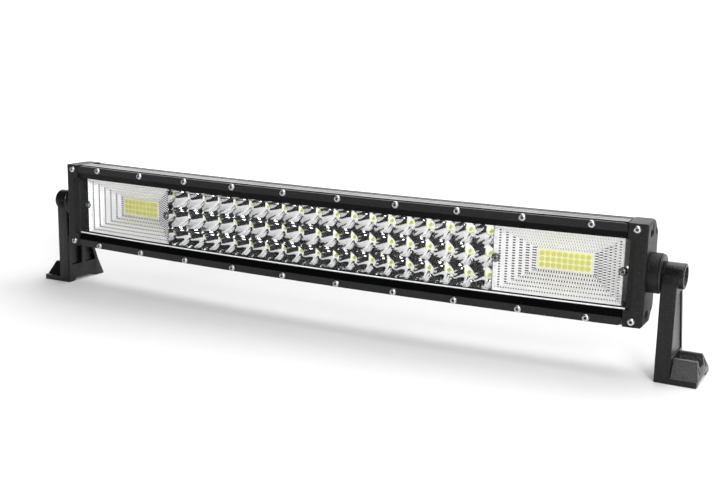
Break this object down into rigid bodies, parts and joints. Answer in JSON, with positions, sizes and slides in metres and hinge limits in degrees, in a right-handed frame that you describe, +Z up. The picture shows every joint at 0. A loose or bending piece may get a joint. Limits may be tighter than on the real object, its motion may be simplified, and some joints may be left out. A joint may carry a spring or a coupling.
{
  "type": "led light bar",
  "caption": "Curved vehicle light bar: finned housing, clear lens over spot and flood reflectors, and a tilting foot bracket at each end for bolting to a flat surface.",
  "frame": {"origin": "centre of the overall box, on the surface the feet stand on", "axes": "+X along the bar to the right-hand bracket as seen from the front, the lens looks along -Y, +Z up"},
  "size_m": [0.64, 0.0717, 0.1203],
  "materials": {
    "housing_coat": "black powder coat on extruded aluminium, fine grain",
    "rail_coat": "black powder coat on extruded aluminium, fine grain",
    "cap_coat": "black powder coat on an aluminium casting",
    "bracket_coat": "black powder coat on an aluminium casting",
    "bright_screw": "polished stainless",
    "optic_screw": "plain steel",
    "black_screw": "black oxide",
    "bolt_black": "black oxide",
    "lens_clear": "clear polycarbonate",
    "seal_rubber": "soft black",
    "reflector_silver": "metallised mirror plastic",
    "board_white": "white solder mask on aluminium",
    "led_phosphor": "yellow phosphor under clear resin",
    "washer_plastic": "black friction washer",
    "gland_plastic": "black nylon"
  },
  "bodies": {
    "left_foot": {"left_bracket": "bracket_coat"},
    "lamp": {"housing": "housing_coat", "top_rail": "rail_coat", "bottom_rail": "rail_coat", "top_rail_screws": "bright_screw", "bottom_rail_screws": "bright_screw", "lens": "lens_clear", "lens_gasket": "seal_rubber", "spot_reflector": "reflector_silver", "left_flood_reflector": "reflector_silver", "right_flood_reflector": "reflector_silver", "spot_board": "board_white", "left_flood_board": "board_white", "right_flood_board": "board_white", "spot_leds": "led_phosphor", "left_flood_leds": "led_phosphor", "right_flood_leds": "led_phosphor", "reflector_screws": "optic_screw", "left_end_cap": "cap_coat", "right_end_cap": "cap_coat", "left_end_gasket": "seal_rubber", "right_end_gasket": "seal_rubber", "end_cap_screws": "bright_screw", "end_cap_side_screws": "black_screw", "gland_seal": "seal_rubber", "cable_gland": "gland_plastic", "gland_nut": "gland_plastic", "breather_valve": "gland_plastic", "left_pivot_washer": "washer_plastic", "right_pivot_washer": "washer_plastic", "left_lock_washer": "bolt_black", "right_lock_washer": "bolt_black", "left_pivot_bolt": "bolt_black", "right_pivot_bolt": "bolt_black"},
    "right_foot": {"right_bracket": "bracket_coat"}
  },
  "joints": [
    {"name": "bar_tilt", "type": "hinge", "parent": "left_foot", "child": "lamp", "pos_m": [-0.2925, -0.00315, 0.081], "axis": [1, 0, 0], "range_deg": [-90, 90]},
    {"name": "right_foot_turn", "type": "hinge", "parent": "lamp", "child": "right_foot", "pos_m": [0.2925, -0.00315, 0.081], "axis": [1, 0, 0], "range_deg": [-90, 90]}
  ],
  "couplings": [
    {"joint": "right_foot_turn", "follows": "bar_tilt", "ratio": -1}
  ]
}
